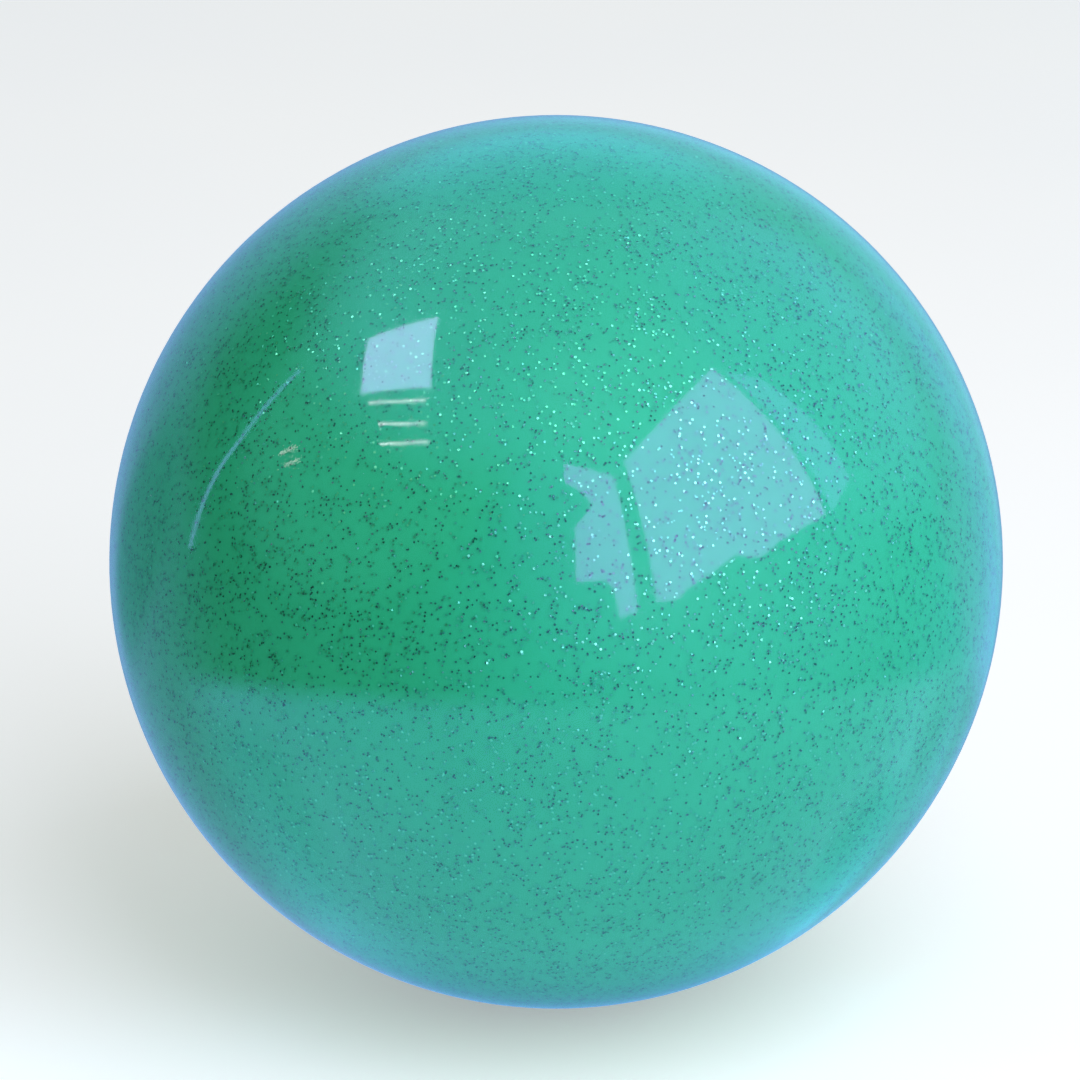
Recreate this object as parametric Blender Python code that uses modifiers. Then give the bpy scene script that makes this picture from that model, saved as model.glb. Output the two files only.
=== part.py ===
"""Rhythmic gymnastics ball: an inflated ball of two layers, with a plugged needle valve.

Metres, +Z up, origin at the centre of the ball. The valve is on the +Y side, and every piece is
turned about that axis. Profiles are drawn as (radius, height), with height along the valve axis.
"""

import math

import bpy

# The ball and its two layers
BALL_RADIUS = 0.0925
SKIN_THICKNESS = 0.0009
SHELL_THICKNESS = 0.0024
FIT_GAP = 0.0003

# The valve's rubber insert
FLANGE_RADIUS = 0.0070
FLANGE_THICKNESS = 0.0022
FLANGE_CHAMFER = 0.00025
NECK_RADIUS = 0.0042
BEAD_RADIUS = 0.0058
BEAD_LENGTH = 0.0016
BEAD_SLOPE = 0.0005
NOSE_RADIUS = 0.0024
NOSE_LENGTH = 0.0072
NOSE_ROUND = 0.0006
NEEDLE_PASSAGE_RADIUS = 0.0006

# The boss inside the shell that carries the insert
BOSS_RADIUS = 0.0110
BOSS_FOOT_RADIUS = 0.0150
BOSS_DEPTH = 0.0045
BOSS_CHAMFER = 0.0012

# The stopper
PLUG_HEAD_RADIUS = 0.0036
PLUG_HEAD_THICKNESS = 0.0011
PLUG_HEAD_RECESS = 0.0001
PLUG_HEAD_FLAT_RADIUS = 0.0028
PLUG_HEAD_EDGE_DROP = 0.0003
PLUG_SHANK_RADIUS = 0.0016
PLUG_SHANK_LENGTH = 0.0105
PLUG_TIP_RADIUS = 0.0007
PLUG_TIP_LENGTH = 0.0012
PLUG_RING_RADIUS = 0.00178
PLUG_RING_HEIGHT = 0.0008
PLUG_RING_DEPTHS = (0.0035, 0.0065)

# Finishes: linear colour, then roughness
CLEAR_COLOUR, CLEAR_ROUGHNESS, CLEAR_ALPHA = (0.55, 0.90, 0.80), 0.08, 0.35
GREEN_COLOUR, GREEN_ROUGHNESS = (0.03, 0.40, 0.20), 0.35
RUBBER_COLOUR, RUBBER_ROUGHNESS = (0.80, 0.86, 0.82), 0.55
PLASTIC_COLOUR, PLASTIC_ROUGHNESS = (0.88, 0.90, 0.88), 0.40

# How finely round surfaces are cut into flats
BALL_STEPS = 48
BALL_ARC_STEPS = 24
INNER_ARC_STEPS = 16
VALVE_STEPS = 32
MERGE_DISTANCE = 0.00001

# Heights along the valve axis that follow from the sizes above
FLANGE_HOLE_RADIUS = FLANGE_RADIUS + FIT_GAP
SKIN_INNER_RADIUS = BALL_RADIUS - SKIN_THICKNESS
SHELL_RADIUS = SKIN_INNER_RADIUS - FIT_GAP
SHELL_INNER_RADIUS = SHELL_RADIUS - SHELL_THICKNESS
VALVE_FACE = math.sqrt(BALL_RADIUS**2 - FLANGE_HOLE_RADIUS**2)
FLANGE_UNDERSIDE = VALVE_FACE - FLANGE_THICKNESS
FLANGE_SEAT = FLANGE_UNDERSIDE - FIT_GAP
BOSS_END = FLANGE_SEAT - BOSS_DEPTH
BEAD_SHOULDER = BOSS_END - FIT_GAP
NOSE_END = BEAD_SHOULDER - BEAD_LENGTH - NOSE_LENGTH
PLUG_TOP = VALVE_FACE - PLUG_HEAD_RECESS
PLUG_HEAD_UNDERSIDE = PLUG_TOP - PLUG_HEAD_THICKNESS
HEAD_SEAT = PLUG_HEAD_UNDERSIDE - FIT_GAP
PLUG_TIP = PLUG_HEAD_UNDERSIDE - PLUG_SHANK_LENGTH
PLUG_BORE_END = PLUG_TIP - FIT_GAP


def new_collection(name):
    collection = bpy.data.collections.new(name)
    bpy.context.scene.collection.children.link(collection)
    return collection


def new_material(name, colour, roughness, alpha=1.0):
    """A Principled material of one colour; none of the ball's materials is a metal."""
    material = bpy.data.materials.new(name)
    material.use_nodes = True
    shader = material.node_tree.nodes["Principled BSDF"]
    shader.inputs["Base Color"].default_value = (*colour, 1.0)
    shader.inputs["Roughness"].default_value = roughness
    shader.inputs["Metallic"].default_value = 0.0
    shader.inputs["Alpha"].default_value = alpha
    return material


def ball_outline(radius, hole_radius, steps):
    """Half outline of a sphere from the rim of its valve hole, over the equator, to the far pole."""
    rim = math.asin(hole_radius / radius)
    equator = math.pi / 2
    half = steps // 2
    polars = [rim + (equator - rim) * step / half for step in range(half)]
    polars += [equator + (math.pi - equator) * step / half for step in range(half)]
    points = [(radius * math.sin(polar), radius * math.cos(polar)) for polar in polars]
    return points + [(0.0, -radius)]


def turned(name, profile, closed, steps, material):
    """A piece turned from its half outline. An outline that isn't closed starts and ends on the axis."""
    mesh = bpy.data.meshes.new(name)
    count = len(profile)
    edges = [(index, index + 1) for index in range(count - 1)]
    if closed:
        edges.append((count - 1, 0))
    mesh.from_pydata([(radius, 0.0, height) for radius, height in profile], edges, [])
    mesh.materials.append(material)
    piece = bpy.data.objects.new(name, mesh)
    parts.objects.link(piece)
    piece.parent = valve_axis
    screw = piece.modifiers.new("turn", "SCREW")
    screw.axis = "Z"
    screw.angle = math.tau
    screw.steps = steps
    screw.render_steps = steps
    screw.use_merge_vertices = True
    screw.merge_threshold = MERGE_DISTANCE
    screw.use_smooth_shade = True
    return piece


def make_glitter_skin():
    """The clear outer layer, open where the valve's flange shows."""
    inside = ball_outline(SKIN_INNER_RADIUS, FLANGE_HOLE_RADIUS, BALL_ARC_STEPS)
    outside = ball_outline(BALL_RADIUS, FLANGE_HOLE_RADIUS, BALL_ARC_STEPS)
    clear = new_material("clear_glitter_pvc", CLEAR_COLOUR, CLEAR_ROUGHNESS, CLEAR_ALPHA)
    turned("glitter_skin", inside[::-1] + outside, False, BALL_STEPS, clear)


def make_coloured_shell():
    """The green wall that holds the air, with a boss inside and a stepped hole for the valve."""
    neck_hole_radius = NECK_RADIUS + FIT_GAP
    inside = ball_outline(SHELL_INNER_RADIUS, BOSS_FOOT_RADIUS, INNER_ARC_STEPS)
    boss = [
        (BOSS_RADIUS, BOSS_END + BOSS_CHAMFER),
        (BOSS_RADIUS - BOSS_CHAMFER, BOSS_END),
        (neck_hole_radius, BOSS_END),
        (neck_hole_radius, FLANGE_SEAT),
        (FLANGE_HOLE_RADIUS, FLANGE_SEAT),
    ]
    outside = ball_outline(SHELL_RADIUS, FLANGE_HOLE_RADIUS, BALL_ARC_STEPS)
    green = new_material("green_pvc", GREEN_COLOUR, GREEN_ROUGHNESS)
    turned("coloured_shell", inside[::-1] + boss + outside, False, BALL_STEPS, green)


def make_valve_body():
    """The soft insert: flange, neck, holding bead and nose, with a stepped bore right through."""
    outside = [
        (FLANGE_RADIUS - FLANGE_CHAMFER, VALVE_FACE),
        (FLANGE_RADIUS, VALVE_FACE - FLANGE_CHAMFER),
        (FLANGE_RADIUS, FLANGE_UNDERSIDE),
        (NECK_RADIUS, FLANGE_UNDERSIDE),
        (NECK_RADIUS, BEAD_SHOULDER),
        (BEAD_RADIUS, BEAD_SHOULDER - BEAD_SLOPE),
        (BEAD_RADIUS, BEAD_SHOULDER - BEAD_LENGTH),
        (NOSE_RADIUS, NOSE_END + NOSE_ROUND),
        (NOSE_RADIUS - NOSE_ROUND, NOSE_END),
    ]
    plug_bore_radius = PLUG_SHANK_RADIUS + FIT_GAP
    head_recess_radius = PLUG_HEAD_RADIUS + FIT_GAP
    bore = [
        (NEEDLE_PASSAGE_RADIUS, NOSE_END),
        (NEEDLE_PASSAGE_RADIUS, PLUG_BORE_END),
        (plug_bore_radius, PLUG_BORE_END),
        (plug_bore_radius, HEAD_SEAT),
        (head_recess_radius, HEAD_SEAT),
        (head_recess_radius, VALVE_FACE),
    ]
    rubber = new_material("valve_rubber", RUBBER_COLOUR, RUBBER_ROUGHNESS)
    turned("valve_body", outside + bore, True, VALVE_STEPS, rubber)


def make_valve_plug():
    """The stopper, with sealing rings on its shank; its origin is under its head, on the pull axis."""
    head = [
        (0.0, PLUG_HEAD_THICKNESS),
        (PLUG_HEAD_FLAT_RADIUS, PLUG_HEAD_THICKNESS),
        (PLUG_HEAD_RADIUS, PLUG_HEAD_THICKNESS - PLUG_HEAD_EDGE_DROP),
        (PLUG_HEAD_RADIUS, 0.0),
        (PLUG_SHANK_RADIUS, 0.0),
    ]
    rings = []
    for depth in PLUG_RING_DEPTHS:
        rings.append((PLUG_SHANK_RADIUS, PLUG_RING_HEIGHT / 2 - depth))
        rings.append((PLUG_RING_RADIUS, -depth))
        rings.append((PLUG_SHANK_RADIUS, -PLUG_RING_HEIGHT / 2 - depth))
    tip = [
        (PLUG_SHANK_RADIUS, PLUG_TIP_LENGTH - PLUG_SHANK_LENGTH),
        (PLUG_TIP_RADIUS, -PLUG_SHANK_LENGTH),
        (0.0, -PLUG_SHANK_LENGTH),
    ]
    plastic = new_material("plug_plastic", PLASTIC_COLOUR, PLASTIC_ROUGHNESS)
    plug = turned("valve_plug", head + rings + tip, False, VALVE_STEPS, plastic)
    plug.location.z = PLUG_HEAD_UNDERSIDE


for leftover in list(bpy.data.objects):
    bpy.data.objects.remove(leftover, do_unlink=True)

parts = new_collection("rhythmic_gymnastics_ball")

# The valve axis stands for the turning axis of every piece: its own +Z points along the ball's +Y
valve_axis = bpy.data.objects.new("valve_axis", None)
valve_axis.rotation_euler.x = -math.pi / 2
valve_axis.empty_display_size = BALL_RADIUS
parts.objects.link(valve_axis)

make_glitter_skin()
make_coloured_shell()
make_valve_body()
make_valve_plug()
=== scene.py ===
"""The looks of a rhythmic gymnastics ball: green shell, valve insert, glitter, clear skin and stopper.

Metres, +Z up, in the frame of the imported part: the ball's centre is the origin, and its valve faces +Y.
"""

import math

import bmesh
import bpy
import numpy as np
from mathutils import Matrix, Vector, noise


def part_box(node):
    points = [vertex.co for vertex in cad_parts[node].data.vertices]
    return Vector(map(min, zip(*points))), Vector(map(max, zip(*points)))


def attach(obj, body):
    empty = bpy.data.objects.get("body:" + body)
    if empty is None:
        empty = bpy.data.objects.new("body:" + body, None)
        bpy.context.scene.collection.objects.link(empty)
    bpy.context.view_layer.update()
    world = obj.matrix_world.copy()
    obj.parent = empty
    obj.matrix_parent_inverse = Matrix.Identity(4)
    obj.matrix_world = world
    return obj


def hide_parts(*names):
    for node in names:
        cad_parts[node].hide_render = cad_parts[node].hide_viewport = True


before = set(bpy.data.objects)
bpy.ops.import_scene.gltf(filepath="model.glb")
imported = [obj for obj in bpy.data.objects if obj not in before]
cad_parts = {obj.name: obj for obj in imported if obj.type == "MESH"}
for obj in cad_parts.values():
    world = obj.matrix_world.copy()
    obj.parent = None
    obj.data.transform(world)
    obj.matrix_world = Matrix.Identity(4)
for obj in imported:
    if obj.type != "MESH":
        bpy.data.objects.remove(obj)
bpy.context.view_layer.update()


# Coloured shell
# The real shell is the thick green PVC wall that holds the air. It is rotomoulded, so its colour is
# slightly cloudy, and a boss inside it carries the valve. The clear skin is cast straight onto it.
ball_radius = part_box("glitter_skin")[1].x
cad_shell_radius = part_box("coloured_shell")[1].x
flange_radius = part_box("valve_body")[1].x
valve_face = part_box("valve_body")[1].y
FIT_GAP = 0.0003
BOND_OVERLAP = 0.00002
skin_inside = cad_shell_radius + FIT_GAP
shell_outside = skin_inside + BOND_OVERLAP
SHELL_THICKNESS = 0.0024
shell_inside = cad_shell_radius - SHELL_THICKNESS
flange_hole = flange_radius + FIT_GAP
FLANGE_THICKNESS = 0.0022
flange_seat = valve_face - FLANGE_THICKNESS - FIT_GAP
NECK_HOLE = 0.0045
BOSS_RADIUS = 0.0110
BOSS_FOOT_RADIUS = 0.0150
BOSS_DEPTH = 0.0045
BOSS_ROUNDING = 0.0010
BOSS_FLARE = 0.0030
boss_end = flange_seat - BOSS_DEPTH
BALL_STEPS = 192
BALL_ARC_STEPS = 96
INSIDE_ARC_STEPS = 40
ROUNDING_STEPS = 5
ON_AXIS = 1e-9
GREEN_PALE = (0.018, 0.420, 0.198, 1.0)
GREEN_DEEP = (0.014, 0.370, 0.168, 1.0)
SHELL_ROUGHNESS = (0.34, 0.46)
CLOUD_SCALE = 16.0
CLOUD_DETAIL = 4.0
CLOUD_LOW = 0.35
CLOUD_HIGH = 0.65
MOTTLE_SCALE = 700.0
MOTTLE_SHARE = 0.12
SHELL_SPECULAR = 0.15


def ball_outline(radius, hole_radius, steps):
    """Half outline of a sphere from the rim of its valve hole to the far pole."""
    rim = math.asin(hole_radius / radius)
    polars = [rim + (math.pi - rim) * step / steps for step in range(steps)]
    points = [(radius * math.sin(polar), radius * math.cos(polar)) for polar in polars]
    return points + [(0.0, -radius)]


def rounded_outline(corners):
    """Points of a half outline whose corners are (radius, height, rounding)."""
    points = []
    for number, (radius, height, rounding) in enumerate(corners):
        place = Vector((radius, height))
        if rounding == 0.0:
            points.append((radius, height))
            continue
        back = (Vector(corners[number - 1][:2]) - place).normalized()
        ahead = (Vector(corners[(number + 1) % len(corners)][:2]) - place).normalized()
        half_angle = back.angle(ahead) / 2
        reach = rounding / math.tan(half_angle)
        middle = place + (back + ahead).normalized() * rounding / math.sin(half_angle)
        start = (place + back * reach - middle).normalized()
        finish = (place + ahead * reach - middle).normalized()
        for step in range(ROUNDING_STEPS + 1):
            points.append(tuple(middle + start.slerp(finish, step / ROUNDING_STEPS) * rounding))
    return points


def turned_piece(name, outline, closed, steps):
    """A piece turned about the valve axis from a half outline of (radius, height) points."""
    turning = bmesh.new()
    rings = []
    for radius, height in outline:
        if radius < ON_AXIS:
            rings.append([turning.verts.new((0.0, height, 0.0))])
            continue
        ring = []
        for step in range(steps):
            angle = math.tau * step / steps
            place = (radius * math.cos(angle), height, radius * math.sin(angle))
            ring.append(turning.verts.new(place))
        rings.append(ring)
    pairs = list(zip(rings, rings[1:]))
    if closed:
        pairs.append((rings[-1], rings[0]))
    for first, second in pairs:
        for step in range(steps):
            corners = [
                first[step % len(first)],
                first[(step + 1) % len(first)],
                second[(step + 1) % len(second)],
                second[step % len(second)],
            ]
            turning.faces.new(dict.fromkeys(corners))
    bmesh.ops.recalc_face_normals(turning, faces=turning.faces)
    for face in turning.faces:
        face.smooth = True
    mesh = bpy.data.meshes.new(name)
    turning.to_mesh(mesh)
    turning.free()
    piece = bpy.data.objects.new(name, mesh)
    bpy.context.scene.collection.objects.link(piece)
    even_shading = piece.modifiers.new("even_shading", "WEIGHTED_NORMAL")
    even_shading.keep_sharp = True
    return piece


def new_finish(name, piece):
    """A fresh material on a piece, returned as its nodes, its links and its main shader."""
    finish = bpy.data.materials.new(name)
    finish.use_nodes = True
    piece.data.materials.append(finish)
    nodes = finish.node_tree.nodes
    return nodes, finish.node_tree.links, nodes["Principled BSDF"]


def noise_on_piece(nodes, links, scale, detail):
    """A noise texture that is fixed to the piece, in features per metre."""
    place = nodes.new("ShaderNodeTexCoord")
    texture = nodes.new("ShaderNodeTexNoise")
    texture.inputs["Scale"].default_value = scale
    texture.inputs["Detail"].default_value = detail
    links.new(place.outputs["Object"], texture.inputs["Vector"])
    return texture.outputs["Fac"]


def colour_between(nodes, links, cloud, low_colour, high_colour):
    """A colour that goes from low_colour to high_colour over the usual spread of a noise."""
    ramp = nodes.new("ShaderNodeValToRGB")
    ramp.color_ramp.elements[0].position = CLOUD_LOW
    ramp.color_ramp.elements[0].color = low_colour
    ramp.color_ramp.elements[1].position = CLOUD_HIGH
    ramp.color_ramp.elements[1].color = high_colour
    links.new(cloud, ramp.inputs["Fac"])
    return ramp.outputs["Color"]


def spread_between(nodes, links, value, low, high, low_result, high_result):
    """A smooth step from low_result to high_result as value goes from low to high."""
    span = nodes.new("ShaderNodeMapRange")
    span.interpolation_type = "SMOOTHSTEP"
    span.inputs["From Min"].default_value = low
    span.inputs["From Max"].default_value = high
    span.inputs["To Min"].default_value = low_result
    span.inputs["To Max"].default_value = high_result
    links.new(value, span.inputs["Value"])
    return span.outputs["Result"]


def cloudy_roughness(nodes, links, shader, cloud, roughness):
    """Lets the shader's roughness go from its low to its high value with a noise."""
    rough = spread_between(nodes, links, cloud, CLOUD_LOW, CLOUD_HIGH, *roughness)
    links.new(rough, shader.inputs["Roughness"])


shell_outline = ball_outline(shell_inside, BOSS_FOOT_RADIUS, INSIDE_ARC_STEPS)[::-1]
shell_outline += rounded_outline([
    (BOSS_RADIUS + BOSS_ROUNDING, boss_end + BOSS_FLARE, 0.0),
    (BOSS_RADIUS, boss_end, BOSS_ROUNDING),
    (NECK_HOLE, boss_end, 0.0),
    (NECK_HOLE, flange_seat, 0.0),
    (flange_hole, flange_seat, 0.0),
])
shell_outline += ball_outline(shell_outside, flange_hole, BALL_ARC_STEPS)
green_shell = turned_piece("green_shell", shell_outline, False, BALL_STEPS)

nodes, links, green_pvc = new_finish("cloudy_green_pvc", green_shell)
clouds = noise_on_piece(nodes, links, CLOUD_SCALE, CLOUD_DETAIL)
cloudy = colour_between(nodes, links, clouds, GREEN_DEEP, GREEN_PALE)
mottle = noise_on_piece(nodes, links, MOTTLE_SCALE, CLOUD_DETAIL)
specks = colour_between(nodes, links, mottle, GREEN_DEEP, GREEN_PALE)
pigment = nodes.new("ShaderNodeMix")
pigment.data_type = "RGBA"
pigment.inputs["Factor"].default_value = MOTTLE_SHARE
links.new(cloudy, pigment.inputs["A"])
links.new(specks, pigment.inputs["B"])
links.new(pigment.outputs["Result"], green_pvc.inputs["Base Color"])
cloudy_roughness(nodes, links, green_pvc, clouds, SHELL_ROUGHNESS)
green_pvc.inputs["Specular IOR Level"].default_value = SHELL_SPECULAR
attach(green_shell, "ball")
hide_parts("coloured_shell")


# Valve insert
# The real insert is moulded in one piece from milky soft rubber and pressed into the shell's boss, where
# a bead behind the boss holds it. A stepped bore takes the stopper and, when pumping, the needle.
stopper_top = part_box("valve_plug")[1].y
stopper_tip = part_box("valve_plug")[0].y
stopper_head_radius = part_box("valve_plug")[1].x
insert_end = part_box("valve_body")[0].y
JOINT_LINE = 0.00006
seen_flange_radius = flange_hole - JOINT_LINE
flange_underside = valve_face - FLANGE_THICKNESS
NECK_RADIUS = 0.0042
BEAD_RADIUS = 0.0058
BEAD_SLOPE = 0.0005
BEAD_LENGTH = 0.0016
bead_shoulder = boss_end - FIT_GAP
bead_end = bead_shoulder - BEAD_LENGTH
NOSE_RADIUS = 0.0024
NEEDLE_PASSAGE = 0.0006
BORE_RADIUS = 0.0019
bore_end = stopper_tip - FIT_GAP
head_recess = stopper_head_radius + FIT_GAP
STOPPER_HEAD_THICKNESS = 0.0011
stopper_underside = stopper_top - STOPPER_HEAD_THICKNESS
head_seat = stopper_underside - FIT_GAP
GROOVE_OUTSIDE = 0.0064
GROOVE_INSIDE = 0.0059
GROOVE_DEPTH = 0.00022
GROOVE_WALL = 0.00010
SOFT_EDGE = 0.00030
FINE_EDGE = 0.00012
GROOVE_EDGE = 0.00005
NAIL_SCOOP_RINGS = (0.0042, 0.0045, 0.0048, 0.0051, 0.0054)
NAIL_SCOOP_RADIUS = 0.0014
NAIL_SCOOP_DEPTH = 0.0007
ACROSS_VALVE_AXIS = (1.0, 0.0, 1.0)
VALVE_STEPS = 144
RUBBER_PALE = (0.80, 0.86, 0.82, 1.0)
RUBBER_DULL = (0.68, 0.76, 0.71, 1.0)
RUBBER_RECESS_TONE = (0.52, 0.62, 0.56, 1.0)
RECESS_DARKENING_SHARE = 0.55
RUBBER_ROUGHNESS = (0.45, 0.60)
RUBBER_CLOUD_SCALE = 420.0
RUBBER_GRAIN_SCALE = 4200.0
RUBBER_GRAIN_STRENGTH = 0.25
RUBBER_GRAIN_HEIGHT = 0.00005

insert_corners = [
    (GROOVE_OUTSIDE, valve_face, GROOVE_EDGE),
    (seen_flange_radius, valve_face, SOFT_EDGE),
    (seen_flange_radius, flange_underside, FINE_EDGE),
    (NECK_RADIUS, flange_underside, SOFT_EDGE),
    (NECK_RADIUS, bead_shoulder, FINE_EDGE),
    (BEAD_RADIUS, bead_shoulder - BEAD_SLOPE, SOFT_EDGE),
    (BEAD_RADIUS, bead_end, SOFT_EDGE),
    (NOSE_RADIUS, insert_end, SOFT_EDGE),
    (NEEDLE_PASSAGE, insert_end, FINE_EDGE),
    (NEEDLE_PASSAGE, bore_end, 0.0),
    (BORE_RADIUS, bore_end, 0.0),
    (BORE_RADIUS, head_seat, FINE_EDGE),
    (head_recess, head_seat, FINE_EDGE),
    (head_recess, valve_face, FINE_EDGE),
]
insert_corners += [(radius, valve_face, 0.0) for radius in NAIL_SCOOP_RINGS]
insert_corners += [
    (GROOVE_INSIDE, valve_face, GROOVE_EDGE),
    (GROOVE_INSIDE + GROOVE_WALL, valve_face - GROOVE_DEPTH, GROOVE_EDGE),
    (GROOVE_OUTSIDE - GROOVE_WALL, valve_face - GROOVE_DEPTH, GROOVE_EDGE),
]
valve_insert = turned_piece("valve_insert", rounded_outline(insert_corners), True, VALVE_STEPS)
for vertex in valve_insert.data.vertices:
    if vertex.co.y < valve_face - SOFT_EDGE:
        continue
    for side in (-1, 1):
        away = math.hypot(vertex.co.x - side * head_recess, vertex.co.z) / NAIL_SCOOP_RADIUS
        vertex.co.y -= NAIL_SCOOP_DEPTH * max(0.0, 1.0 - away**2)


def distance_from_axis(nodes, links):
    """How far a point of the piece is from the valve axis, in metres."""
    place = nodes.new("ShaderNodeTexCoord")
    across = nodes.new("ShaderNodeVectorMath")
    across.operation = "MULTIPLY"
    across.inputs[1].default_value = ACROSS_VALVE_AXIS
    links.new(place.outputs["Object"], across.inputs[0])
    distance = nodes.new("ShaderNodeVectorMath")
    distance.operation = "LENGTH"
    links.new(across.outputs["Vector"], distance.inputs[0])
    return distance.outputs["Value"]


def fine_grain(nodes, links, shader, scale, strength, height):
    """A fine moulded grain in the shader's surface."""
    grain = nodes.new("ShaderNodeBump")
    grain.inputs["Strength"].default_value = strength
    grain.inputs["Distance"].default_value = height
    links.new(noise_on_piece(nodes, links, scale, CLOUD_DETAIL), grain.inputs["Height"])
    links.new(grain.outputs["Normal"], shader.inputs["Normal"])


nodes, links, milky_rubber = new_finish("milky_valve_rubber", valve_insert)
rubber_cloud = noise_on_piece(nodes, links, RUBBER_CLOUD_SCALE, CLOUD_DETAIL)
rubber_tone = colour_between(nodes, links, rubber_cloud, RUBBER_DULL, RUBBER_PALE)
from_axis = distance_from_axis(nodes, links)
# The rubber is darker in the stopper's recess and round it, fading out past the nail scoops.
darkening_end = head_recess + NAIL_SCOOP_RADIUS
darker_near_recess = spread_between(nodes, links, from_axis, head_recess, darkening_end, RECESS_DARKENING_SHARE, 0.0)
rubber_mix = nodes.new("ShaderNodeMix")
rubber_mix.data_type = "RGBA"
links.new(darker_near_recess, rubber_mix.inputs["Factor"])
links.new(rubber_tone, rubber_mix.inputs["A"])
rubber_mix.inputs["B"].default_value = RUBBER_RECESS_TONE
links.new(rubber_mix.outputs["Result"], milky_rubber.inputs["Base Color"])
cloudy_roughness(nodes, links, milky_rubber, rubber_cloud, RUBBER_ROUGHNESS)
fine_grain(nodes, links, milky_rubber, RUBBER_GRAIN_SCALE, RUBBER_GRAIN_STRENGTH, RUBBER_GRAIN_HEIGHT)
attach(valve_insert, "ball")
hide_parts("valve_body")


# Glitter flakes
# The real flakes are hexagons cut from metal-coated film, made here four to six tenths of a millimetre
# across. They are stirred into the clear PVC before it is cast, so they lie at many depths, nearly flat to
# the ball, and each foil flashes or stays dark by its own coating and tilt.
FLAKE_SEED = 41
FLAKES_DRAWN = 86000
FLAKE_RADIUS_LOW = 0.00020
FLAKE_RADIUS_HIGH = 0.00026
FLAKE_THICKNESS = 0.00003
FLAKE_TILT_MOST = math.radians(45.0)
FLAKE_CLEARANCE = 0.00020
FLAKE_CORNERS = 6
CLUMP_SCALE = 90.0
CLUMP_DEPTH = 0.35
VALVE_MARGIN = 0.0006
# Each foil's name, colour, share of metal, usual tilt in degrees, size and share of all the flakes.
FOILS = [
    ("dark_glitter", (0.010, 0.075, 0.045, 1.0), 0.55, 16.0, 1.0, 0.28),
    ("deep_glitter", (0.014, 0.150, 0.080, 1.0), 0.60, 14.0, 1.0, 0.22),
    ("green_glitter", (0.035, 0.320, 0.140, 1.0), 0.80, 9.0, 1.1, 0.29),
    ("spark_glitter", (0.090, 0.460, 0.190, 1.0), 1.00, 5.5, 1.2, 0.21),
]
FOIL_ROUGHNESS = 0.28

draw = np.random.default_rng(FLAKE_SEED)
outward = draw.normal(size=(FLAKES_DRAWN, 3))
outward /= np.linalg.norm(outward, axis=1, keepdims=True)
clump_draw = draw.random(FLAKES_DRAWN)
clump = np.array([noise.noise(Vector(way) * ball_radius * CLUMP_SCALE) for way in outward])
clear_of_valve = outward[:, 1] < math.cos((flange_hole + VALVE_MARGIN) / ball_radius)
kept = clear_of_valve & (clump_draw < 1.0 - CLUMP_DEPTH + CLUMP_DEPTH * clump)
outward = outward[kept]
flake_count = len(outward)


def at_right_angles(ways, helpers):
    """Unit vectors square to ways, turned towards helpers."""
    square = np.cross(ways, helpers)
    return square / np.linalg.norm(square, axis=1, keepdims=True)


_, _, _, foil_tilts, foil_sizes, foil_shares = zip(*FOILS)
foil_of_flake = draw.choice(len(FOILS), size=flake_count, p=foil_shares)
usual_tilt = np.radians(foil_tilts)[foil_of_flake, None]
flake_size = np.array(foil_sizes)[foil_of_flake, None]
tilt = np.clip(np.abs(draw.normal(size=(flake_count, 1))) * usual_tilt, 0.0, FLAKE_TILT_MOST)
lean = at_right_angles(outward, draw.normal(size=(flake_count, 3)))
facing = outward * np.cos(tilt) + lean * np.sin(tilt)
first_side = at_right_angles(facing, draw.normal(size=(flake_count, 3)))
second_side = np.cross(facing, first_side)
depth_low = skin_inside + FLAKE_CLEARANCE
depth_high = ball_radius - FLAKE_CLEARANCE
centre = outward * draw.uniform(depth_low, depth_high, size=(flake_count, 1))
flake_radius = flake_size * draw.uniform(FLAKE_RADIUS_LOW, FLAKE_RADIUS_HIGH, size=(flake_count, 1))

corner_angles = [math.tau * corner / FLAKE_CORNERS for corner in range(FLAKE_CORNERS)]
rows = []
for angle in corner_angles:
    rows.append(centre + flake_radius * (first_side * math.cos(angle) + second_side * math.sin(angle)))
rows.append(centre - facing * FLAKE_THICKNESS)
flake_points = np.stack(rows, axis=1)
points_per_flake = FLAKE_CORNERS + 1


def scatter_flakes(name, chosen, colour, metal):
    """One piece that holds the chosen flakes, each a flat hexagon closed by a shallow point behind."""
    faces = []
    for number in range(np.count_nonzero(chosen)):
        first = number * points_per_flake
        back = first + FLAKE_CORNERS
        rim = list(range(first, back))
        faces.append(rim)
        for corner in range(FLAKE_CORNERS):
            faces.append((rim[(corner + 1) % FLAKE_CORNERS], rim[corner], back))
    mesh = bpy.data.meshes.new(name)
    mesh.from_pydata(flake_points[chosen].reshape(-1, 3), [], faces)
    piece = bpy.data.objects.new(name, mesh)
    bpy.context.scene.collection.objects.link(piece)
    _, _, foil = new_finish(name + "_foil", piece)
    foil.inputs["Base Color"].default_value = colour
    foil.inputs["Metallic"].default_value = metal
    foil.inputs["Roughness"].default_value = FOIL_ROUGHNESS
    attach(piece, "ball")


for foil_number, (foil_name, foil_colour, foil_metal, _, _, _) in enumerate(FOILS):
    scatter_flakes(foil_name, foil_of_flake == foil_number, foil_colour, foil_metal)


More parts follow.
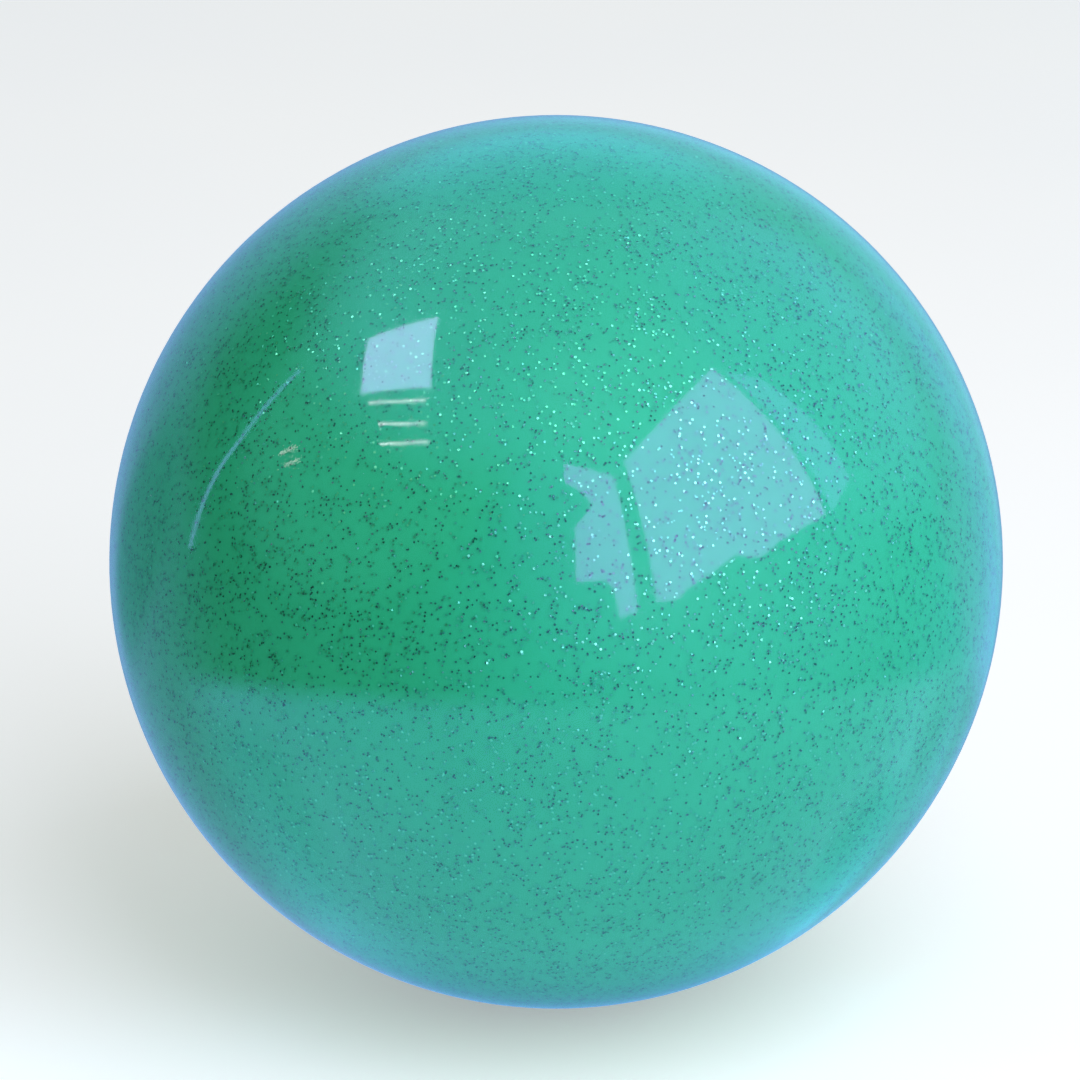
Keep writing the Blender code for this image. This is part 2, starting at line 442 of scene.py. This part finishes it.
# Clear skin
# The real skin is clear glossy PVC, cast over the shell with the glitter in it and polished by the
# mould. Looks and reflections meet it as clear plastic, and the lamps shine straight through it.
SKIN_RIM_ROUNDING = 0.00025
SKIN_TINT = (0.93, 1.0, 0.975, 1.0)
SKIN_CLEARNESS = 1.0
SKIN_IOR = 1.55
SKIN_ROUGHNESS = (0.05, 0.07)
SKIN_GLOSS = 1.0
SKIN_GLOSS_TINT = (0.60, 0.95, 1.0, 1.0)
RIPPLE_SCALE = 60.0

skin_inner_outline = ball_outline(skin_inside, flange_hole, BALL_ARC_STEPS)[::-1]
skin_outer_outline = ball_outline(ball_radius, flange_hole, BALL_ARC_STEPS)
skin_rim = rounded_outline([
    (*skin_inner_outline[-1], 0.0),
    (*skin_outer_outline[0], SKIN_RIM_ROUNDING),
    (*skin_outer_outline[1], 0.0),
])
skin_outline = skin_inner_outline[:-1] + skin_rim + skin_outer_outline[2:]
clear_skin = turned_piece("clear_skin", skin_outline, False, BALL_STEPS)


def looked_at(nodes, links):
    """One where the eye, a reflection or a look through clear plastic meets the surface, and else nought."""
    light_path = nodes.new("ShaderNodeLightPath").outputs
    seen = light_path["Is Camera Ray"]
    for way_of_looking in ("Is Glossy Ray", "Is Transmission Ray"):
        either = nodes.new("ShaderNodeMath")
        either.operation = "MAXIMUM"
        links.new(seen, either.inputs[0])
        links.new(light_path[way_of_looking], either.inputs[1])
        seen = either.outputs["Value"]
    return seen


nodes, links, clear_pvc = new_finish("clear_glossy_pvc", clear_skin)
clear_pvc.inputs["Base Color"].default_value = SKIN_TINT
clear_pvc.inputs["Transmission Weight"].default_value = SKIN_CLEARNESS
clear_pvc.inputs["IOR"].default_value = SKIN_IOR
clear_pvc.inputs["Specular IOR Level"].default_value = SKIN_GLOSS
clear_pvc.inputs["Specular Tint"].default_value = SKIN_GLOSS_TINT
ripple = noise_on_piece(nodes, links, RIPPLE_SCALE, CLOUD_DETAIL)
cloudy_roughness(nodes, links, clear_pvc, ripple, SKIN_ROUGHNESS)
lamp_passes = nodes.new("ShaderNodeBsdfTransparent")
skin_mix = nodes.new("ShaderNodeMixShader")
links.new(looked_at(nodes, links), skin_mix.inputs["Fac"])
links.new(lamp_passes.outputs["BSDF"], skin_mix.inputs[1])
links.new(clear_pvc.outputs["BSDF"], skin_mix.inputs[2])
links.new(skin_mix.outputs["Shader"], nodes["Material Output"].inputs["Surface"])
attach(clear_skin, "ball")
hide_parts("glitter_skin")


# Stopper
# The real stopper is a small push-in peg moulded from white plastic. Its dished head has the mark of the
# mould's gate in the middle, and two soft rings on its shank seal the bore.
DISH_RADIUS = 0.0023
DISH_DEPTH = 0.00018
DISH_WALL = 0.00030
GATE_RADIUS = 0.00045
GATE_HEIGHT = 0.00008
SHANK_RADIUS = 0.0016
SEAL_RADIUS = 0.00178
SEAL_HEIGHT = 0.0008
SEAL_DEPTHS = (0.0035, 0.0065)
TIP_RADIUS = 0.0007
TIP_LENGTH = 0.0012
PLASTIC_PALE = (0.87, 0.89, 0.87, 1.0)
PLASTIC_DULL = (0.76, 0.80, 0.78, 1.0)
PLASTIC_ROUGHNESS = (0.30, 0.42)
PLASTIC_CLOUD_SCALE = 500.0
PLASTIC_GRAIN_SCALE = 6500.0
PLASTIC_GRAIN_STRENGTH = 0.12
PLASTIC_GRAIN_HEIGHT = 0.00003

dish_floor = stopper_top - DISH_DEPTH
stopper_corners = [
    (0.0, dish_floor + GATE_HEIGHT, 0.0),
    (GATE_RADIUS, dish_floor + GATE_HEIGHT, GROOVE_EDGE),
    (GATE_RADIUS + GATE_HEIGHT, dish_floor, 0.0),
    (DISH_RADIUS, dish_floor, FINE_EDGE),
    (DISH_RADIUS + DISH_WALL, stopper_top, FINE_EDGE),
    (stopper_head_radius, stopper_top, SOFT_EDGE),
    (stopper_head_radius, stopper_underside, FINE_EDGE),
    (SHANK_RADIUS, stopper_underside, FINE_EDGE),
]
for depth in SEAL_DEPTHS:
    seal_middle = stopper_underside - depth
    stopper_corners += [
        (SHANK_RADIUS, seal_middle + SEAL_HEIGHT / 2, 0.0),
        (SEAL_RADIUS, seal_middle, FINE_EDGE),
        (SHANK_RADIUS, seal_middle - SEAL_HEIGHT / 2, 0.0),
    ]
stopper_corners += [
    (SHANK_RADIUS, stopper_tip + TIP_LENGTH, SOFT_EDGE),
    (TIP_RADIUS, stopper_tip, FINE_EDGE),
    (0.0, stopper_tip, 0.0),
]
stopper = turned_piece("stopper", rounded_outline(stopper_corners), False, VALVE_STEPS)

nodes, links, white_plastic = new_finish("white_stopper_plastic", stopper)
plastic_cloud = noise_on_piece(nodes, links, PLASTIC_CLOUD_SCALE, CLOUD_DETAIL)
plastic_tone = colour_between(nodes, links, plastic_cloud, PLASTIC_DULL, PLASTIC_PALE)
links.new(plastic_tone, white_plastic.inputs["Base Color"])
cloudy_roughness(nodes, links, white_plastic, plastic_cloud, PLASTIC_ROUGHNESS)
fine_grain(nodes, links, white_plastic, PLASTIC_GRAIN_SCALE, PLASTIC_GRAIN_STRENGTH, PLASTIC_GRAIN_HEIGHT)
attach(stopper, "plug")
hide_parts("valve_plug")


# Table top
# A plain pale table top of painted board stands in for whatever the ball lies on. It isn't part of the
# ball, and it keeps the ball's shadow. A faint lift makes it look pale without more light on the ball.
TABLE_RADIUS = 3.0
TABLE_SIDES = 64
TABLE_PALE = (0.95, 0.94, 0.92, 1.0)
TABLE_DULL = (0.93, 0.92, 0.90, 1.0)
TABLE_CLOUD_SCALE = 3.0
TABLE_ROUGHNESS = (0.65, 0.75)
TABLE_LIFT = 0.32

laying = bmesh.new()
bmesh.ops.create_circle(laying, cap_ends=True, segments=TABLE_SIDES, radius=TABLE_RADIUS)
table_mesh = bpy.data.meshes.new("table_top")
laying.to_mesh(table_mesh)
laying.free()
table_top = bpy.data.objects.new("table_top", table_mesh)
table_top.location.z = -ball_radius
bpy.context.scene.collection.objects.link(table_top)
nodes, links, table_paint = new_finish("table_paint", table_top)
table_cloud = noise_on_piece(nodes, links, TABLE_CLOUD_SCALE, CLOUD_DETAIL)
links.new(colour_between(nodes, links, table_cloud, TABLE_DULL, TABLE_PALE), table_paint.inputs["Base Color"])
cloudy_roughness(nodes, links, table_paint, table_cloud, TABLE_ROUGHNESS)
table_lift = nodes.new("ShaderNodeEmission")
seen_lift = nodes.new("ShaderNodeMath")
seen_lift.operation = "MULTIPLY"
seen_lift.inputs[1].default_value = TABLE_LIFT
links.new(looked_at(nodes, links), seen_lift.inputs[0])
links.new(seen_lift.outputs["Value"], table_lift.inputs["Strength"])
lifted_paint = nodes.new("ShaderNodeAddShader")
links.new(table_paint.outputs["BSDF"], lifted_paint.inputs[0])
links.new(table_lift.outputs["Emission"], lifted_paint.inputs[1])
links.new(lifted_paint.outputs["Shader"], nodes["Material Output"].inputs["Surface"])


# Tinted tent
# A tent that glows in tinted colours stands round the ball and over the table, and only reflections see it.
# Its glow is painted reflection:
# in it the glossy skin shows a dim room at the left, a bluish one elsewhere and a blue table top, with
# painted shade of the ball on that table top.
TENT_RADIUS = 2.5
TENT_STEPS = 32
TENT_ABOVE_TABLE = 0.0005
TENT_LEFT = (0.06, 0.14, 0.15, 1.0)
# The way to each side, how near to that way its colour starts and is full, and the colour.
TENT_SIDES = [
    ((1.0, 0.0, 0.0), -0.75, 0.10, (0.28, 0.92, 1.65, 1.0)),
    ((0.62, -0.62, 0.47), 0.50, 0.88, (0.60, 1.00, 2.45, 1.0)),
    ((-0.70, -0.35, 0.62), 0.74, 0.88, (0.24, 0.62, 0.60, 1.0)),
    ((0.0, -0.12, -0.99), 0.28, 0.37, (0.72, 1.45, 2.70, 1.0)),
    ((0.0, 1.0, 0.0), 0.45, 0.88, (0.30, 0.62, 1.08, 1.0)),
    ((0.35, 0.85, 0.40), 0.60, 0.95, (0.42, 0.94, 1.45, 1.0)),
    ((0.0, 0.0, 1.0), 0.50, 0.85, (0.75, 1.75, 2.65, 1.0)),
    ((0.75, 0.25, 0.60), 0.75, 0.95, (0.85, 1.50, 3.20, 1.0)),
    ((0.0, 0.78, 0.62), 0.88, 0.985, (0.52, 1.60, 2.45, 1.0)),
    # The darker colours of the sides that look down near the ball and behind it are painted shade of the ball
    # on the table top.
    ((0.0, 0.0, -1.0), 0.55, 0.92, (0.34, 0.98, 1.66, 1.0)),
    ((0.0, 0.0, -1.0), 0.79, 0.94, (0.20, 0.50, 0.95, 1.0)),
    ((0.70, -0.12, -0.70), 0.96, 0.99, (0.34, 1.15, 1.85, 1.0)),
    ((-0.74, -0.21, -0.64), 0.93, 0.98, (0.42, 1.25, 2.00, 1.0)),
    ((-0.50, 0.60, -0.62), 0.50, 0.80, (0.28, 0.52, 1.00, 1.0)),
    ((0.75, 0.28, -0.60), 0.92, 0.98, (0.36, 0.85, 1.50, 1.0)),
    ((0.55, 0.25, -0.80), 0.94, 0.985, (0.28, 0.64, 1.10, 1.0)),
    ((0.66, 0.50, -0.56), 0.955, 0.99, (0.28, 0.60, 1.05, 1.0)),
    ((-0.80, 0.58, -0.15), 0.955, 0.992, (0.14, 0.40, 0.62, 1.0)),
    ((0.0, 0.75, -0.66), 0.75, 0.84, (0.22, 0.42, 0.76, 1.0)),
    ((0.81, 0.56, -0.18), 0.955, 0.99, (0.46, 0.78, 1.75, 1.0)),
    ((0.63, 0.77, 0.09), 0.965, 0.995, (0.52, 0.95, 1.95, 1.0)),
]


def colour_all_round(nodes, links, place, first_colour, sides):
    """Colour by the way to a place: first_colour, passing into the colour of each side in turn."""
    way = nodes.new("ShaderNodeVectorMath")
    way.operation = "NORMALIZE"
    links.new(place, way.inputs[0])
    so_far = None
    for side_way, low, high, side_colour in sides:
        along = nodes.new("ShaderNodeVectorMath")
        along.operation = "DOT_PRODUCT"
        links.new(way.outputs["Vector"], along.inputs[0])
        along.inputs[1].default_value = side_way
        towards = spread_between(nodes, links, along.outputs["Value"], low, high, 0.0, 1.0)
        side_mix = nodes.new("ShaderNodeMix")
        side_mix.data_type = "RGBA"
        links.new(towards, side_mix.inputs["Factor"])
        side_mix.inputs["B"].default_value = side_colour
        if so_far:
            links.new(so_far, side_mix.inputs["A"])
        else:
            side_mix.inputs["A"].default_value = first_colour
        so_far = side_mix.outputs["Result"]
    return so_far


def for_reflections_only(screen):
    """Hides a stage piece from the camera, shadows and diffuse light, so only reflections in the skin and the
    flakes under it see it.
    """
    screen.visible_camera = False
    screen.visible_shadow = False
    screen.visible_diffuse = False
    screen.active_material.cycles.emission_sampling = "NONE"


pitching = bmesh.new()
bmesh.ops.create_uvsphere(pitching, u_segments=TENT_STEPS, v_segments=TENT_STEPS, radius=TENT_RADIUS)
for corner in pitching.verts:
    corner.co.z = max(corner.co.z, TENT_ABOVE_TABLE - ball_radius)
tent_mesh = bpy.data.meshes.new("tinted_tent")
pitching.to_mesh(tent_mesh)
pitching.free()
tinted_tent = bpy.data.objects.new("tinted_tent", tent_mesh)
bpy.context.scene.collection.objects.link(tinted_tent)
nodes, links, painted_reflection_glow = new_finish("painted_reflection_glow", tinted_tent)
nodes.remove(painted_reflection_glow)
tent_place = nodes.new("ShaderNodeTexCoord").outputs["Object"]
tent_glow = nodes.new("ShaderNodeEmission")
links.new(colour_all_round(nodes, links, tent_place, TENT_LEFT, TENT_SIDES), tent_glow.inputs["Color"])
links.new(tent_glow.outputs["Emission"], nodes["Material Output"].inputs["Surface"])
for_reflections_only(tinted_tent)


# Studio light
# A window of two panes and a dim strip stands in front on the right, and a ceiling panel with slats and a
# thin rail on the left. A tall soft key lamp comes from the window's side, and the room is plain and pale.
LAMP_DISTANCE = 1.5
WINDOW_SHINE = (4.45, 2.15, 7.5, 1.0)
DIM_SHINE = (2.0, 1.9, 5.5, 1.0)
PANEL_SHINE = (8.2, 6.0, 11.4, 1.0)
SLAT_SHINE = (20.0, 12.5, 14.0, 1.0)
SHORT_SLAT_SHINE = (14.0, 9.0, 9.0, 1.0)
RAIL_SHINE = (1.4, 1.6, 4.0, 1.0)
# Each sheet's name, its shine and its corners, as bearing and rise in degrees.
SHINING_SHEETS = [
    ("wide_pane", WINDOW_SHINE, [
        (-17.6, 53.9), (-16.2, 43.1), (-15.1, 31.1), (-14.7, 15.4), (-30.3, 15.1), (-37.0, 13.2),
        (-43.5, 15.6), (-52.5, 12.3), (-57.7, 10.4), (-59.5, 8.6), (-65.3, 8.7), (-67.8, 43.0),
    ]),
    ("narrow_pane", WINDOW_SHINE, [
        (-87.4, 44.0), (-72.0, 39.8), (-70.1, 6.9), (-74.6, 5.8), (-75.7, 13.1), (-78.0, 15.2),
        (-85.0, 15.1), (-84.9, 28.1), (-79.7, 33.4), (-82.3, 36.7), (-87.6, 39.3),
    ]),
    ("dim_pane", DIM_SHINE, [
        (-15.3, 51.5), (-6.7, 44.9), (-3.8, 34.7), (-2.6, 25.7), (-2.9, 17.8), (-12.7, 15.0),
        (-13.6, 31.1), (-14.4, 42.5),
    ]),
    ("ceiling_panel", PANEL_SHINE, [(176.4, 51.0), (183.1, 65.8), (215.0, 54.8), (194.2, 44.3)]),
    ("first_slat", SLAT_SHINE, [
        (199.1, 43.9), (208.0, 48.2), (217.3, 51.9), (216.7, 52.3), (207.4, 48.5), (198.5, 44.2),
    ]),
    ("second_slat", SLAT_SHINE, [
        (207.2, 41.8), (214.6, 44.6), (222.2, 47.2), (221.8, 47.6), (214.1, 45.0), (206.7, 42.1),
    ]),
    ("third_slat", SLAT_SHINE, [
        (211.9, 38.4), (219.0, 41.0), (226.3, 43.4), (225.9, 43.8), (218.5, 41.4), (211.4, 38.8),
    ]),
    ("upper_short_slat", SHORT_SLAT_SHINE, [(184.2, 23.6), (187.9, 27.1), (187.4, 27.3), (183.7, 23.7)]),
    ("lower_short_slat", SHORT_SLAT_SHINE, [(187.9, 22.9), (191.2, 26.0), (190.8, 26.1), (187.4, 23.1)]),
    ("tall_rail", RAIL_SHINE, [
        (169.1, 35.6), (169.3, 30.3), (169.2, 23.7), (168.8, 18.4), (167.2, 12.6), (166.1, 5.8),
        (165.2, -3.0), (166.6, -2.7), (167.4, 6.2), (168.5, 13.0), (170.0, 18.7), (170.5, 24.1),
        (170.6, 30.6), (170.5, 35.9),
    ]),
]
KEY_WAY = Vector((0.46, -0.64, 0.60)).normalized()
KEY_DISTANCE = 1.3
KEY_WIDTH = 1.1
KEY_HEIGHT = 1.9
KEY_LIGHT = (2.50, 2.62, 3.10)
ROOM_LIGHT = (0.385, 0.395, 0.355, 1.0)


def shining_sheet(name, shine, corners):
    """A sheet that shines evenly, with its corners at the lamps' distance from the ball."""
    points = []
    for bearing, rise in corners:
        level = LAMP_DISTANCE * math.cos(math.radians(rise))
        across = level * math.cos(math.radians(bearing))
        ahead = level * math.sin(math.radians(bearing))
        points.append((across, ahead, LAMP_DISTANCE * math.sin(math.radians(rise))))
    mesh = bpy.data.meshes.new(name)
    mesh.from_pydata(points, [], [range(len(points))])
    sheet = bpy.data.objects.new(name, mesh)
    bpy.context.scene.collection.objects.link(sheet)
    nodes, links, plain = new_finish(name + "_glow", sheet)
    nodes.remove(plain)
    glow = nodes.new("ShaderNodeEmission")
    glow.inputs["Color"].default_value = shine
    links.new(glow.outputs["Emission"], nodes["Material Output"].inputs["Surface"])
    for_reflections_only(sheet)


for sheet_name, sheet_shine, sheet_corners in SHINING_SHEETS:
    shining_sheet(sheet_name, sheet_shine, sheet_corners)

key_lamp = bpy.data.lights.new("key_light", "AREA")
key_lamp.shape = "RECTANGLE"
key_lamp.size = KEY_WIDTH
key_lamp.size_y = KEY_HEIGHT
key_lamp.color = [part / max(KEY_LIGHT) for part in KEY_LIGHT]
key_lamp.energy = max(KEY_LIGHT) * math.pi * KEY_WIDTH * KEY_HEIGHT
key = bpy.data.objects.new("key_light", key_lamp)
key.location = KEY_WAY * KEY_DISTANCE
key.rotation_euler = KEY_WAY.to_track_quat("Z", "Y").to_euler()
key.visible_camera = False
key.visible_glossy = False
bpy.context.scene.collection.objects.link(key)

room = bpy.data.worlds.new("room")
room.use_nodes = True
bpy.context.scene.world = room
room.node_tree.nodes["Background"].inputs["Color"].default_value = ROOM_LIGHT
bpy.context.scene.view_settings.view_transform = "Standard"


# Camera
# It stands on the side away from the valve and looks slightly down at the ball. Its lens and its shift
# frame the ball as in the photograph.
CAMERA_RISE = math.radians(20.0)
CAMERA_DISTANCE = 1.4
PHOTO_SIDE = 1080.0
BALL_ACROSS_PHOTO = 556.1
BALL_DOWN_PHOTO = 561.8
BALL_RADIUS_IN_PHOTO = 446.9
SENSOR_WIDTH = 36.0

camera_data = bpy.data.cameras.new("camera")
camera_data.sensor_width = SENSOR_WIDTH
seen_half_angle = math.asin(ball_radius / CAMERA_DISTANCE)
focal_pixels = BALL_RADIUS_IN_PHOTO / math.tan(seen_half_angle)
camera_data.lens = SENSOR_WIDTH * focal_pixels / PHOTO_SIDE
camera_data.shift_x = (PHOTO_SIDE / 2 - BALL_ACROSS_PHOTO) / PHOTO_SIDE
camera_data.shift_y = (BALL_DOWN_PHOTO - PHOTO_SIDE / 2) / PHOTO_SIDE
camera = bpy.data.objects.new("camera", camera_data)
camera_way = Vector((0.0, -math.cos(CAMERA_RISE), math.sin(CAMERA_RISE)))
camera.location = camera_way * CAMERA_DISTANCE
camera.rotation_euler = camera_way.to_track_quat("Z", "Y").to_euler()
bpy.context.scene.collection.objects.link(camera)
bpy.context.scene.camera = camera
